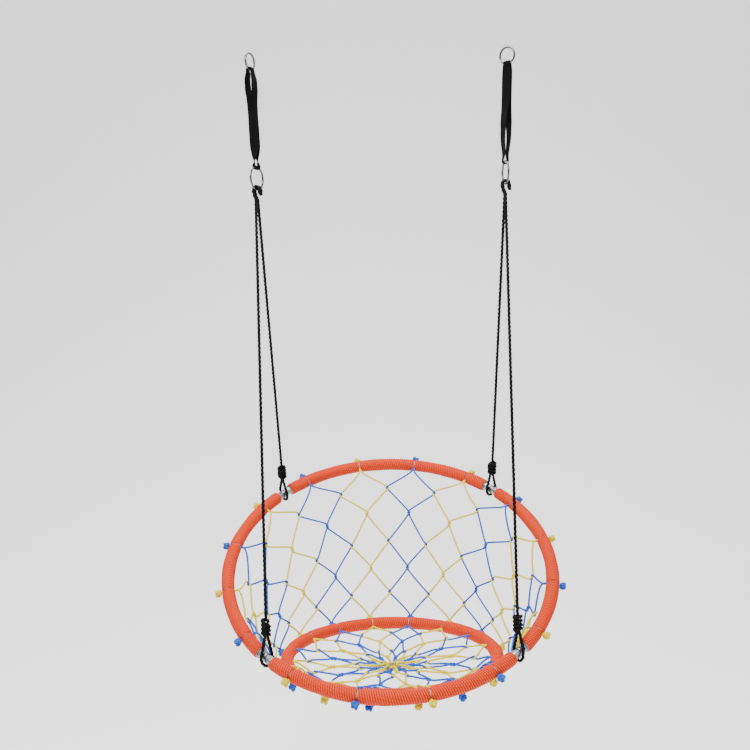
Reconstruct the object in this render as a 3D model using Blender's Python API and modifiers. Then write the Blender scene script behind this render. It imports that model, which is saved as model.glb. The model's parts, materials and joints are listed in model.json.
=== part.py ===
"""Net basket swing: a big padded ring hung tilted on four ropes, a small padded seat ring under it,
a rope net wall between the two and a rope web across the seat ring.

Units are metres and degrees. +X is the sitter's left-to-right as seen from the front, +Y points to
the high back of the basket, +Z is up. The origin is midway between the two points where hooks bear
inside the hang rings. Angles round a ring are counted from its back, positive towards -X.
"""
from math import ceil, cos, floor, pi, radians, sin

import bmesh
import bpy
from mathutils import Matrix, Vector

GAP = 0.0003                      # clearance between pieces that touch

# rings and straps that carry the swing
HANG_RING_RADIUS = 0.0235         # to the middle of the wire
LINK_RING_RADIUS = 0.033
RING_WIRE = 0.003                 # wire radius
RING_SIDES = 24
HANG_X = 0.370                    # half the spacing of the hooks
LINK_X = 0.360                    # half the spacing of the link rings
LINK_RING_Z = -0.353              # centre of a link ring
HANG_TURN = {"left": 65.0, "right": -37.0}     # turn of each hang ring about Z from facing front
LINK_TURN = {"left": 65.0, "right": -82.0}
STRAP_TWIST = {"left": 180.0, "right": -45.0}  # turn of the webbing from top fold to bottom fold
STRAP_WIDTH = 0.029
STRAP_FOLD_WIDTH = 0.019
STRAP_THICKNESS = 0.0026
STRAP_FOLD_RADIUS = 0.0078        # wire centre to the middle of the folded webbing
STRAP_LEG_GAP = 0.0035            # middle of each leg to the middle of the strap
STRAP_OPEN_GAP = {"left": 0.011, "right": 0.009}
STRAP_OPEN_AT = {"left": 0.16, "right": 0.68}  # where along its length the loop stands open most

# big ring
FRAME_RADIUS = 0.480              # to the middle of the tube
FRAME_TILT = 30.0
FRAME_CENTRE = Vector((0.0, 0.020, -1.502))    # sets the middle of mass under the hooks
TUBE_RADIUS = 0.0125
TUBE_WALL = 0.0015
COVER_RADIUS = 0.0190
COVER_BORE = TUBE_RADIUS + 0.0004
BARE_HALF_ANGLE = 3.0             # bare steel each side of a joint
JOINTS = {"back_left": 45.0, "front_left": 135.0, "front_right": 225.0, "back_right": 315.0}
FRAME_SIDES = {"back": -45.0, "left": 45.0, "front": 135.0, "right": 225.0}
ARC_STEP = 11.25
TUBE_SIDES = 8
BUTT_ANGLE = 0.05                 # half the gap where two tubes meet
END_RUN = 0.003                   # straight run that squares off each end of a tube
JOINER_HALF_ANGLE = 4.5
SCREW_ANGLE = 1.75                # screw, past the joint

# seat ring
SEAT_RADIUS = 0.307
SEAT_CENTRE = FRAME_CENTRE + Vector((0.0, -0.058, -0.254))
SEAT_ARC_STEP = 15.0
SEAT_SIDES = {"back": -90.0, "front": 90.0}

# net
COLUMNS = 16
FIRST_COLUMN = 11.25
COLUMN_STEP = 360.0 / COLUMNS
CORD = 0.0030                     # net cord radius
HOLE = 0.0064                     # corner radius of the square-cut holes the cord passes through
CROSSING = 0.0048                 # half the spacing of two cords where neighbouring columns cross
KNOT = 0.0115                     # stopper knot radius
TIE_HALF = 0.0034                 # half the spacing of a column's two cords where they are tied
SHOULDER = 0.0045                 # half the width of the turn at each end of a column
LEVEL_RUN = 0.0065                # length over which cords run side by side at a tie or crossing
SHORT_WALL = 0.10                 # columns shorter than this need that run to keep cords apart
# Columns shorter than the first length have room for two diamonds, then for one, then for none.
DIAMOND_ROOM = ((0.17, (0, 2), (1, 3)), (0.12, (2,), ()), (0.06, (), ()))

# suspension ropes
ROPE = 0.0050                     # rope radius
ROPE_STEP = 0.030                 # spacing of the points along a rope
NOOSE_LOW = 0.052                 # barrel knot above the tube's centre
NOOSE_HIGH = 0.100
NOOSE_RADIUS = 0.0155
LOOP_CLEARANCE = 0.0022           # round the bare tube, so that the loop can turn on it
HITCH_HALF = 0.0054               # half the spacing of the hitch's two turns
HITCH_REACH = 0.0098              # wire centre to rope centre, over the wire
HITCH_FOOT = 0.026                # where each rope leaves the hitch, below the wire
HITCH_GAP = 0.0035                # room between the slanting end of a rope and the hitch


def start_scene():
    """Clear the scene and make the collections for the parts and for the cutters."""
    for item in list(bpy.data.objects):
        bpy.data.objects.remove(item, do_unlink=True)
    collections = {}
    for name in ("net_basket_swing", "cutters"):
        collections[name] = bpy.data.collections.new(name)
        bpy.context.scene.collection.children.link(collections[name])
    return collections["net_basket_swing"], collections["cutters"]


PARTS, CUTTERS = start_scene()


def finish(name, colour, roughness, metallic=0.0):
    material = bpy.data.materials.new(name)
    material.use_nodes = True
    shader = material.node_tree.nodes["Principled BSDF"]
    shader.inputs["Base Color"].default_value = (*colour, 1.0)
    shader.inputs["Roughness"].default_value = roughness
    shader.inputs["Metallic"].default_value = metallic
    return material


STEEL = finish("bright_steel", (0.72, 0.73, 0.74), 0.28, 1.0)
WEBBING = finish("black_webbing", (0.018, 0.018, 0.020), 0.85)
ROPE_BLACK = finish("black_rope", (0.022, 0.022, 0.024), 0.80)
ORANGE = finish("orange_sleeve", (0.83, 0.13, 0.035), 0.75)
YELLOW = finish("yellow_cord", (0.86, 0.62, 0.05), 0.60)
BLUE = finish("blue_cord", (0.05, 0.20, 0.68), 0.60)

FRAME_PLACE = Matrix.Translation(FRAME_CENTRE) @ Matrix.Rotation(radians(FRAME_TILT), 4, "X")
SEAT_PLACE = Matrix.Translation(SEAT_CENTRE)


def keep(item, material):
    """Put a finished object in the parts collection with its material."""
    PARTS.objects.link(item)
    item.data.materials.clear()
    item.data.materials.append(material)
    return item


def round_piece(item):
    item.data.shade_smooth()
    item.data.set_sharp_from_angle(angle=radians(40))
    return item


def tube_along(name, points, radius, resolution, capped=True, closed=False):
    """A round bar along the points, turned into a mesh; without caps it stays an open tube."""
    curve = bpy.data.curves.new(name, "CURVE")
    curve.dimensions = "3D"
    curve.bevel_depth = radius
    curve.bevel_resolution = resolution
    curve.use_fill_caps = capped
    spline = curve.splines.new("POLY")
    spline.points.add(len(points) - 1)
    spline.use_cyclic_u = closed
    for knot, point in zip(spline.points, points):
        knot.co = (*point, 1.0)
    guide = bpy.data.objects.new(name, curve)
    PARTS.objects.link(guide)
    evaluated = guide.evaluated_get(bpy.context.evaluated_depsgraph_get())
    mesh = bpy.data.meshes.new_from_object(evaluated)
    welded = bmesh.new()
    welded.from_mesh(mesh)
    bmesh.ops.remove_doubles(welded, verts=welded.verts, dist=0.00001)
    welded.to_mesh(mesh)
    welded.free()
    bpy.data.objects.remove(guide, do_unlink=True)
    bpy.data.curves.remove(curve)
    mesh.name = name
    return bpy.data.objects.new(name, mesh)


def ring_direction(angle):
    """Outward direction in a ring's own plane."""
    return Vector((-sin(radians(angle)), cos(radians(angle)), 0.0))


def ring_tangent(angle):
    return Vector((-cos(radians(angle)), -sin(radians(angle)), 0.0))


def on_polygon(radius, step, angle):
    """A point on the many-sided line that stands for a ring, with a corner at every step."""
    corner = floor(angle / step + 0.000001)
    share = angle / step - corner
    return ring_direction(corner * step).lerp(ring_direction((corner + 1) * step), share) * radius


def arc_points(radius, step, start, end):
    """Points along an arc, with short end runs so that both ends are cut square."""
    corners = range(floor(start / step + 0.01) + 1, ceil(end / step - 0.01))
    points = [on_polygon(radius, step, angle)
              for angle in [start] + [corner * step for corner in corners] + [end]]
    points.insert(1, points[0] + ring_tangent(start) * END_RUN)
    points.insert(-1, points[-1] - ring_tangent(end) * END_RUN)
    return points


def arc_shell(name, place, points, radius, wall, material):
    """A bent tube with a wall, open at both ends."""
    item = tube_along(name, points, radius, (TUBE_SIDES - 4) // 2, capped=False)
    item.matrix_world = place
    shell = item.modifiers.new("wall", "SOLIDIFY")
    shell.thickness = wall * cos(pi / TUBE_SIDES)
    shell.offset = -1.0
    shell.use_even_offset = True
    round_piece(item)
    return keep(item, material)


def bore(item, name, place, holes):
    """Cut round holes; each is (middle, direction, radius, length) in the place's own frame."""
    cutter = bmesh.new()
    for middle, direction, radius, length in holes:
        turn = direction.to_track_quat("Z", "Y").to_matrix().to_4x4()
        turn = turn @ Matrix.Rotation(radians(10.0), 4, "Z")
        bmesh.ops.create_cone(cutter, cap_ends=True, segments=5, radius1=radius, radius2=radius,
                              depth=length, matrix=Matrix.Translation(middle) @ turn)
    mesh = bpy.data.meshes.new(name)
    cutter.to_mesh(mesh)
    cutter.free()
    tool = bpy.data.objects.new(name, mesh)
    tool.matrix_world = place
    tool.hide_render = True
    tool.display_type = "WIRE"
    CUTTERS.objects.link(tool)
    cut = item.modifiers.new(name, "BOOLEAN")
    cut.operation = "DIFFERENCE"
    cut.object = tool


# ---------------------------------------------------------------- big ring and seat ring

def column_angles(start, end):
    """Angles of the net columns between two angles."""
    angles = [FIRST_COLUMN + COLUMN_STEP * i for i in range(-COLUMNS, COLUMNS)]
    return [angle for angle in angles if start < angle < end]


def frame_hole(angle, radius=HOLE, length=0.06):
    return ring_direction(angle) * FRAME_RADIUS, ring_direction(angle), radius, length


def seat_stem_direction(angle):
    """Outward direction of a cord through the seat ring: a little up at the back, down at the front."""
    forward = (1.0 - cos(radians(angle))) / 2.0
    dip = radians(-12.0 + 60.0 * forward)
    return ring_direction(angle) * cos(dip) - Vector((0.0, 0.0, sin(dip)))


def seat_hole(angle, length=0.06):
    return ring_direction(angle) * SEAT_RADIUS, seat_stem_direction(angle), HOLE, length


def screw_hole(angle):
    """The screw stands on the upper side of the tube, just past the joint."""
    side = Vector((0.0, 0.0, 1.0))
    return ring_direction(angle + SCREW_ANGLE) * FRAME_RADIUS + side * 0.012, side, 0.0031, 0.012


def make_big_ring():
    for side, start in FRAME_SIDES.items():
        end = start + 90.0
        holes = [frame_hole(angle) for angle in column_angles(start, end)]
        tube = arc_shell("frame_tube_" + side, FRAME_PLACE,
                         arc_points(FRAME_RADIUS, ARC_STEP, start + BUTT_ANGLE, end - BUTT_ANGLE),
                         TUBE_RADIUS, TUBE_WALL, STEEL)
        bore(tube, "tube_holes_" + side, FRAME_PLACE, holes + [screw_hole(start)])
        cover = arc_shell("frame_cover_" + side, FRAME_PLACE,
                          arc_points(FRAME_RADIUS, ARC_STEP, start + BARE_HALF_ANGLE,
                                     end - BARE_HALF_ANGLE),
                          COVER_RADIUS, COVER_RADIUS - COVER_BORE, ORANGE)
        bore(cover, "cover_holes_" + side, FRAME_PLACE, holes)
    for corner, angle in JOINTS.items():
        joiner = arc_shell("frame_joiner_" + corner, FRAME_PLACE,
                           arc_points(FRAME_RADIUS, ARC_STEP, angle - JOINER_HALF_ANGLE,
                                      angle + JOINER_HALF_ANGLE),
                           TUBE_RADIUS - TUBE_WALL - 0.0008, TUBE_WALL, STEEL)
        bore(joiner, "joiner_hole_" + corner, FRAME_PLACE, [screw_hole(angle)])
        make_screw("frame_screw_" + corner, angle)


def make_screw(name, angle):
    """Pan-head screw through tube and joiner; a turned profile, head up."""
    shank, head, head_height, tip = 0.0024, 0.0046, 0.0024, -0.0075
    profile = [(0.0, head_height), (head * 0.6, head_height), (head, head_height * 0.4), (head, 0.0),
               (shank, 0.0), (shank, tip), (0.0, tip)]
    mesh = bpy.data.meshes.new(name)
    mesh.from_pydata([(x, 0.0, z) for x, z in profile],
                     [(i, i + 1) for i in range(len(profile) - 1)], [])
    item = bpy.data.objects.new(name, mesh)
    turned = item.modifiers.new("turned", "SCREW")
    turned.steps = 8
    turned.render_steps = 8
    turned.use_merge_vertices = True
    turned.merge_threshold = 0.00001
    seat = ring_direction(angle + SCREW_ANGLE) * FRAME_RADIUS
    item.matrix_world = FRAME_PLACE @ Matrix.Translation(seat + Vector((0, 0, TUBE_RADIUS + GAP)))
    keep(item, STEEL)


def make_seat_ring():
    for side, start in SEAT_SIDES.items():
        end = start + 180.0
        holes = [seat_hole(angle) for angle in column_angles(start, end)]
        points = arc_points(SEAT_RADIUS, SEAT_ARC_STEP, start + 2 * BUTT_ANGLE, end - 2 * BUTT_ANGLE)
        tube = arc_shell("seat_tube_" + side, SEAT_PLACE, points, TUBE_RADIUS, TUBE_WALL, STEEL)
        bore(tube, "seat_tube_holes_" + side, SEAT_PLACE, holes)
        cover = arc_shell("seat_cover_" + side, SEAT_PLACE, points, COVER_RADIUS,
                          COVER_RADIUS - COVER_BORE, ORANGE)
        bore(cover, "seat_cover_holes_" + side, SEAT_PLACE, holes)
    for side, angle in (("left", 90.0), ("right", 270.0)):
        arc_shell("seat_joiner_" + side, SEAT_PLACE,
                  arc_points(SEAT_RADIUS, SEAT_ARC_STEP, angle - 6.0, angle + 6.0),
                  TUBE_RADIUS - TUBE_WALL - 0.0010, TUBE_WALL, STEEL)


# ---------------------------------------------------------------- net

# Levels of a wall column from the big ring to the seat ring. Each is the share of the way down at
# the back of the basket, what is added to that share at the sides, and how far the net is drawn
# round towards the taut back. Odd levels are crossings, even ones are ties.
WALL_LEVELS = ((0.135, 0.110, 0.40), (0.305, 0.190, 0.75), (0.510, 0.150, 1.00),
               (0.690, 0.125, 0.90), (0.865, 0.070, 0.45))
DRAWN_BACK = 12.0                 # degrees, at the sides
FRONT_DROOP = 0.030               # how far the slack front of the net hangs down
TOP_RUN = 0.006                   # cord standing out of a hole before it forks
STEM_BITE = 0.001                 # how far a stem's end goes past the middle of the cord it joins
FOOT_UP = 0.019                   # foot of a wall column above its knot at the seat ring
FOOT_OUT = 0.010                  # and outside it at the back, a little less at the front
FRONT_FOOT_OUT = 0.004
# Web levels: distance from the middle of the seat, and sag under the ring.
WEB_LEVELS = ((0.243, 0.012), (0.178, 0.018), (0.104, 0.023), (0.060, 0.026))
WEB_CENTRE = {"yellow": 0.024, "blue": 0.046}     # sag of each colour's gathering knot
GATHER = 0.0105                   # radius of the gathering knots
GATHER_FLATNESS = 0.6


def seat_knot(angle):
    """Middle of the stopper knot outside the seat ring."""
    out = seat_stem_direction(angle)
    return SEAT_CENTRE + ring_direction(angle) * SEAT_RADIUS + out * (COVER_RADIUS + KNOT + 0.001)


def wall_point(angle, share, drawn):
    """A point of the net wall, between the inside of the big ring and the seat ring's knots."""
    eased = angle - DRAWN_BACK * drawn * sin(radians(angle))
    top = FRAME_PLACE @ (ring_direction(eased) * (FRAME_RADIUS - COVER_RADIUS - TOP_RUN))
    forward = (1.0 - cos(radians(eased))) / 2.0
    bottom = seat_knot(eased) + Vector((0.0, 0.0, FOOT_UP))
    bottom += ring_direction(eased) * (FOOT_OUT - (FOOT_OUT - FRONT_FOOT_OUT) * forward)
    droop = FRONT_DROOP * forward ** 2 * sin(pi * share)
    return top.lerp(bottom, share) - Vector((0.0, 0.0, droop))


def wall_level(angle, level):
    """Share of the way down, and the draw towards the back, of one level of a column."""
    share, extra, drawn = WALL_LEVELS[level]
    lean = cos(radians(angle))
    return share + extra * (1.0 - lean if lean > 0.0 else 1.0 + 0.8 * lean), drawn


def strand(angle, turn, top, bottom, crossings, ties):
    """One side of a column: in at the ties, out at the crossings, with a short run down at each."""
    down = (bottom - top).normalized()
    run = down * LEVEL_RUN / 2.0 if (bottom - top).length < SHORT_WALL else None
    side = ring_tangent(angle) * turn
    points = [top + side * SHOULDER + down * 0.003]
    for index, crossing in enumerate(crossings):
        places = [crossing - side * CROSSING]
        if index < len(ties):
            places.append(ties[index] + side * TIE_HALF)
        for place in places:
            points += [place - run, place + run] if run else [place]
    return points + [bottom + side * SHOULDER - down * 0.003]


def column_loop(name, angle, top, bottom, left, right, ties):
    """The doubled cord of a column, as one closed loop from its top tie to its bottom one."""
    points = [top] + strand(angle, -1.0, top, bottom, left, ties) + [bottom]
    points += reversed(strand(angle, 1.0, top, bottom, right, ties))
    return tube_along(name, points, CORD, 0, closed=True)


def ball(name, middle, radius, flatness=1.0):
    solid = bmesh.new()
    squash = Matrix.Diagonal((1.0, 1.0, flatness, 1.0))
    bmesh.ops.create_uvsphere(solid, u_segments=6, v_segments=4, radius=radius,
                              matrix=Matrix.Translation(middle) @ squash)
    mesh = bpy.data.meshes.new(name)
    solid.to_mesh(mesh)
    solid.free()
    return bpy.data.objects.new(name, mesh)


def joined(item, tools):
    """Boolean union of an object with a collection of tools."""
    home = bpy.data.collections.new(item.name + "_pieces")
    CUTTERS.children.link(home)
    for tool in tools:
        home.objects.link(tool)
        tool.hide_render = True
        tool.display_type = "WIRE"
    union = item.modifiers.new("pieces", "BOOLEAN")
    union.operation = "UNION"
    union.operand_type = "COLLECTION"
    union.collection = home


def make_wall_column(number, angle, material):
    """One column of the wall: stopper knot, cord through the big ring, then up to three diamonds."""
    out = (FRAME_PLACE.to_3x3() @ ring_direction(angle)).normalized()
    ring = FRAME_PLACE @ (ring_direction(angle) * FRAME_RADIUS)
    knot = ring + out * (COVER_RADIUS + KNOT * 0.9)
    top = wall_point(angle, 0.0, 0.0)
    bottom = wall_point(angle, 1.0, 0.0)
    length = (top - bottom).length
    crossing_levels, tie_levels = (0, 2, 4), (1, 3)
    for limit, fewer_crossings, fewer_ties in DIAMOND_ROOM:
        if length < limit:
            crossing_levels, tie_levels = fewer_crossings, fewer_ties
    sides = {}
    for turn in (-1.0, 1.0):
        seam = angle + turn * COLUMN_STEP / 2.0
        sides[turn] = [wall_point(seam, *wall_level(seam, level)) for level in crossing_levels]
    ties = [wall_point(angle, *wall_level(angle, level)) for level in tie_levels]
    name = "wall_cord_%02d" % number
    item = column_loop(name, angle, top, bottom, sides[-1.0], sides[1.0], ties)
    stem = tube_along(name + "_stem", [knot, top - out * STEM_BITE], CORD, 0)
    joined(item, [stem, ball(name + "_knot", knot, KNOT)])
    keep(item, material)


def web_point(angle, distance, sag):
    return SEAT_CENTRE + ring_direction(angle) * distance - Vector((0.0, 0.0, sag))


def make_web(colour, angles, material):
    """Every second column of the seat web, joined by the gathering knot in the middle."""
    hub = SEAT_CENTRE - Vector((0.0, 0.0, WEB_CENTRE[colour]))
    pieces = []
    for number, angle in enumerate(angles):
        name = "%s_column_%d" % (colour, number + 1)
        ring = SEAT_CENTRE + ring_direction(angle) * SEAT_RADIUS
        top = ring - seat_stem_direction(angle) * (COVER_RADIUS + TOP_RUN)
        sides = {}
        for turn in (-1.0, 1.0):
            sides[turn] = [web_point(angle + turn * COLUMN_STEP / 2.0, *WEB_LEVELS[level])
                           for level in (0, 2)]
        ties = [web_point(angle, *WEB_LEVELS[level]) for level in (1, 3)]
        bottom = hub + ring_direction(angle) * GATHER / 3.0
        pieces.append(column_loop(name, angle, top, bottom, sides[-1.0], sides[1.0], ties))
        inner = top - seat_stem_direction(angle) * STEM_BITE
        pieces.append(tube_along(name + "_stem", [seat_knot(angle), inner], CORD, 0))
        pieces.append(ball(name + "_knot", seat_knot(angle), KNOT))
    item = ball("seat_web_" + colour, hub, GATHER, GATHER_FLATNESS)
    joined(item, pieces)
    keep(item, material)


def make_net():
    angles = [FIRST_COLUMN + COLUMN_STEP * i for i in range(COLUMNS)]
    for number, angle in enumerate(angles):
        make_wall_column(number + 1, angle, YELLOW if number % 2 == 0 else BLUE)
    make_web("yellow", angles[0::2], YELLOW)
    make_web("blue", angles[1::2], BLUE)


# ---------------------------------------------------------------- rings, straps and ropes

def flat_directions(turn):
    """Wire direction at the foot of a ring, and the ring's normal, for its turn about Z."""
    wire = Vector((cos(radians(turn)), sin(radians(turn)), 0.0))
    return wire, Vector((-wire.y, wire.x, 0.0))


def make_wire_ring(name, centre, radius, turn):
    bpy.ops.mesh.primitive_torus_add(major_radius=radius, minor_radius=RING_WIRE,
                                     major_segments=RING_SIDES, minor_segments=6)
    item = bpy.context.object
    item.name = name
    item.data.name = name
    for owner in list(item.users_collection):
        owner.objects.unlink(item)
    _, normal = flat_directions(turn)
    item.matrix_world = Matrix.Translation(centre) @ normal.to_track_quat("Z", "Y").to_matrix().to_4x4()
    round_piece(item)
    keep(item, STEEL)


def strap_stations(side):
    """Middle line and width direction of the webbing loop, once round."""
    sign = -1.0 if side == "left" else 1.0
    top = Vector((sign * HANG_X, 0.0, RING_WIRE - 2 * HANG_RING_RADIUS))
    bottom = Vector((sign * LINK_X, 0.0, LINK_RING_Z + LINK_RING_RADIUS))
    start_turn = HANG_TURN[side]
    up = Vector((0.0, 0.0, 1.0))
    leg_steps, fold_steps = 12, 6
    stations = []

    def leg(share):
        wire, normal = flat_directions(start_turn + STRAP_TWIST[side] * share)
        near_fold = max(0.0, 1.0 - min(share, 1.0 - share) / 0.14) ** 2
        near_open = max(0.0, 1.0 - abs(share - STRAP_OPEN_AT[side]) / 0.28) ** 2
        gap = STRAP_LEG_GAP + (STRAP_OPEN_GAP[side] - STRAP_LEG_GAP) * near_open * (3 - 2 * near_open)
        gap = max(gap, STRAP_LEG_GAP + (STRAP_FOLD_RADIUS - STRAP_LEG_GAP) * near_fold)
        if share in (0.0, 1.0):
            gap = STRAP_FOLD_RADIUS
        width = STRAP_WIDTH - (STRAP_WIDTH - STRAP_FOLD_WIDTH) * near_fold
        return top.lerp(bottom, share), wire, normal * gap, width

    for step in range(fold_steps + 1):
        around = pi * step / fold_steps
        _, wire, normal, width = leg(0.0)
        place = top + normal * -cos(around) + up * STRAP_FOLD_RADIUS * sin(around)
        stations.append((place, wire, width))
    for step in range(1, leg_steps):
        middle, wire, normal, width = leg(step / leg_steps)
        stations.append((middle + normal, wire, width))
    for step in range(fold_steps + 1):
        around = pi * step / fold_steps
        _, wire, normal, width = leg(1.0)
        place = bottom + normal * cos(around) - up * STRAP_FOLD_RADIUS * sin(around)
        stations.append((place, wire, width))
    for step in range(leg_steps - 1, 0, -1):
        middle, wire, normal, width = leg(step / leg_steps)
        stations.append((middle - normal, wire, width))
    return stations


def make_strap(side):
    """A loop of flat webbing, lofted round its stations."""
    stations = strap_stations(side)
    loft = bmesh.new()
    rows = []
    count = len(stations)
    for index, (place, wire, width) in enumerate(stations):
        ahead = stations[(index + 1) % count][0] - stations[index - 1][0]
        face = wire.cross(ahead).normalized() * STRAP_THICKNESS / 2.0
        edge = wire * width / 2.0
        corners = (place + edge + face, place - edge + face, place - edge - face, place + edge - face)
        rows.append([loft.verts.new(corner) for corner in corners])
    for index, row in enumerate(rows):
        other = rows[(index + 1) % count]
        top, back = (row[0], row[1], other[1], other[0]), (row[3], other[3], other[2], row[2])
        for face in (top, (row[1], row[2], other[2], other[1]), back, (row[3], row[0], other[0], other[3])):
            loft.faces.new(face)
    bmesh.ops.recalc_face_normals(loft, faces=loft.faces)
    mesh = bpy.data.meshes.new("strap_" + side)
    loft.to_mesh(mesh)
    loft.free()
    keep(bpy.data.objects.new("strap_" + side, mesh), WEBBING)


def hitch_place(side):
    """Foot of the link ring's wire, with the wire direction (towards the back) and the normal."""
    sign = -1.0 if side == "left" else 1.0
    wire, normal = flat_directions(LINK_TURN[side])
    if wire.y < 0.0:
        wire, normal = -wire, -normal
    return Vector((sign * LINK_X, 0.0, LINK_RING_Z - LINK_RING_RADIUS)), wire, normal


def hitch_end(side, direction):
    foot, wire, normal = hitch_place(side)
    return foot + wire * HITCH_HALF * direction + normal * 0.002 - Vector((0, 0, HITCH_FOOT))


def make_hitch(side):
    """Cow hitch of the doubled rope on the link ring: up, over the wire, across, back over, down."""
    foot, wire, normal = hitch_place(side)
    half_turn = [(HITCH_HALF, 0.002, -HITCH_FOOT), (HITCH_HALF, 0.0085, -0.012)]
    for step in range(5):
        around = pi * step / 4
        half_turn.append((HITCH_HALF, HITCH_REACH * cos(around), HITCH_REACH * sin(around)))
    half_turn.append((HITCH_HALF, -0.0100, -0.007))
    half_turn.append((0.003, -0.0112, -0.0135))
    other = [(-along, across, up) for along, across, up in reversed(half_turn)]
    points = [foot + wire * along + normal * across + Vector((0, 0, up))
              for along, across, up in half_turn + other]
    item = tube_along("hitch_" + side, points, ROPE, 1)
    round_piece(item)
    keep(item, ROPE_BLACK)


def noose_frame(corner):
    """Tube centre at a joint, rope direction upwards, and the direction across the noose."""
    side = "left" if corner.endswith("left") else "right"
    angle = JOINTS[corner]
    centre = FRAME_PLACE @ (ring_direction(angle) * FRAME_RADIUS)
    tangent = FRAME_PLACE.to_3x3() @ ring_tangent(angle)
    end = hitch_end(side, 1.0 if corner.startswith("back") else -1.0)
    rope = (end - centre).normalized()
    across = tangent.cross(rope).normalized()
    return centre, rope, across, tangent, end


def make_noose(corner):
    """Barrel knot with its loop round the bare tube."""
    centre, rope, across, tangent, _ = noose_frame(corner)
    reach_across = TUBE_RADIUS + ROPE + LOOP_CLEARANCE
    stretch = across.cross(tangent).dot(rope)
    reach_down = TUBE_RADIUS / abs(stretch) + ROPE + LOOP_CLEARANCE
    points = [(0.0062, NOOSE_LOW + 0.012), (0.0066, NOOSE_LOW), (0.0135, 0.034), (0.0182, 0.018)]
    for step in range(9):
        around = pi * step / 8
        points.append((reach_across * cos(around), -reach_down * sin(around)))
    points += [(-x, y) for x, y in reversed(points[:4])]
    item = tube_along("noose_" + corner, [centre + across * x + rope * y for x, y in points], ROPE, 1)
    barrel = bmesh.new()
    middle = centre + rope * (NOOSE_LOW + NOOSE_HIGH) / 2.0
    turn = rope.to_track_quat("Z", "Y").to_matrix().to_4x4()
    bmesh.ops.create_cone(barrel, cap_ends=True, segments=10, radius1=NOOSE_RADIUS,
                          radius2=NOOSE_RADIUS, depth=NOOSE_HIGH - NOOSE_LOW,
                          matrix=Matrix.Translation(middle) @ turn)
    mesh = bpy.data.meshes.new("barrel_" + corner)
    barrel.to_mesh(mesh)
    barrel.free()
    tool = bpy.data.objects.new("barrel_" + corner, mesh)
    tool.hide_render = True
    tool.display_type = "WIRE"
    CUTTERS.objects.link(tool)
    union = item.modifiers.new("barrel", "BOOLEAN")
    union.operation = "UNION"
    union.object = tool
    round_piece(item)
    keep(item, ROPE_BLACK)


def make_rope(corner):
    """Taut rope from the hitch down to the barrel knot."""
    centre, rope, _, _, end = noose_frame(corner)
    start = centre + rope * (NOOSE_HIGH + GAP)
    finish_point = end - rope * HITCH_GAP
    steps = round((finish_point - start).length / ROPE_STEP)
    points = [start.lerp(finish_point, i / steps) for i in range(steps + 1)]
    item = tube_along("rope_" + corner, points, ROPE, 2)
    round_piece(item)
    keep(item, ROPE_BLACK)


def make_suspension():
    for side, sign in (("left", -1.0), ("right", 1.0)):
        hang_centre = Vector((sign * HANG_X, 0.0, RING_WIRE - HANG_RING_RADIUS))
        make_wire_ring("hang_ring_" + side, hang_centre, HANG_RING_RADIUS, HANG_TURN[side])
        link_centre = Vector((sign * LINK_X, 0.0, LINK_RING_Z))
        make_wire_ring("link_ring_" + side, link_centre, LINK_RING_RADIUS, LINK_TURN[side])
        make_strap(side)
        make_hitch(side)
    for corner in JOINTS:
        make_noose(corner)
        make_rope(corner)


make_big_ring()
make_seat_ring()
make_net()
make_suspension()
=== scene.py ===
"""Looks of the net basket swing: padded rings in braided orange sleeving, twisted net cords, black
twisted suspension ropes with barrel knots, webbing loops and steel rings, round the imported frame."""
import json
from math import ceil, cos, pi, radians, sin

import bmesh
import bpy
import numpy as np
from mathutils import Matrix, Vector

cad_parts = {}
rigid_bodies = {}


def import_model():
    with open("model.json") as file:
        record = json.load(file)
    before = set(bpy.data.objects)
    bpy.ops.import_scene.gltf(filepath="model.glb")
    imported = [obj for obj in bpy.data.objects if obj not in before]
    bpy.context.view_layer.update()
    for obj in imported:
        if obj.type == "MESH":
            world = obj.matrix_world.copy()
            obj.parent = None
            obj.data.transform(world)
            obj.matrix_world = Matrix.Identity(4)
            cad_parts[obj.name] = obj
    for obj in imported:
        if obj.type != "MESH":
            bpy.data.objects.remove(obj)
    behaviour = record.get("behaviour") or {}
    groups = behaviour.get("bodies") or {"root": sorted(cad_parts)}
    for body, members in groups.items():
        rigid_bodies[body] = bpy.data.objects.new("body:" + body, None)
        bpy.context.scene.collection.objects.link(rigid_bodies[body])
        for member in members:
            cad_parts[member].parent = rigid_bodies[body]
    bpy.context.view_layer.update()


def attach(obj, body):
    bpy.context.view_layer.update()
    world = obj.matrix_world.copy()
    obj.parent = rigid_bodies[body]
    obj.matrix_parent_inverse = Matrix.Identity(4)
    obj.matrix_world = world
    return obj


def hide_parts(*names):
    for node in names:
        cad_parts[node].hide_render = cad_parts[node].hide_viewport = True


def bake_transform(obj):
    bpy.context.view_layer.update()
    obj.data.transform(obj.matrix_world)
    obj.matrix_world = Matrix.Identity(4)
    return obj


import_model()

# ---------------------------------------------------------------- sizes shared with the frame, metres

HANG_RING_RADIUS, LINK_RING_RADIUS, RING_WIRE = 0.0235, 0.033, 0.003
HANG_X, LINK_X, LINK_RING_Z = 0.370, 0.360, -0.353
HANG_TURN = {"left": 65.0, "right": -37.0}
LINK_TURN = {"left": 65.0, "right": -82.0}
STRAP_WIDTH, STRAP_FOLD_WIDTH, STRAP_THICKNESS, STRAP_FOLD_RADIUS = 0.029, 0.019, 0.0026, 0.0078
STRAP_LEG_GAP, STRAP_STEP = 0.0035, 0.0035
STRAP_OPEN_GAP = {"left": 0.011, "right": 0.009}
STRAP_OPEN_AT = {"left": 0.16, "right": 0.68}
STRAP_OPEN_REACH = {"left": 0.24, "right": 0.36}
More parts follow.
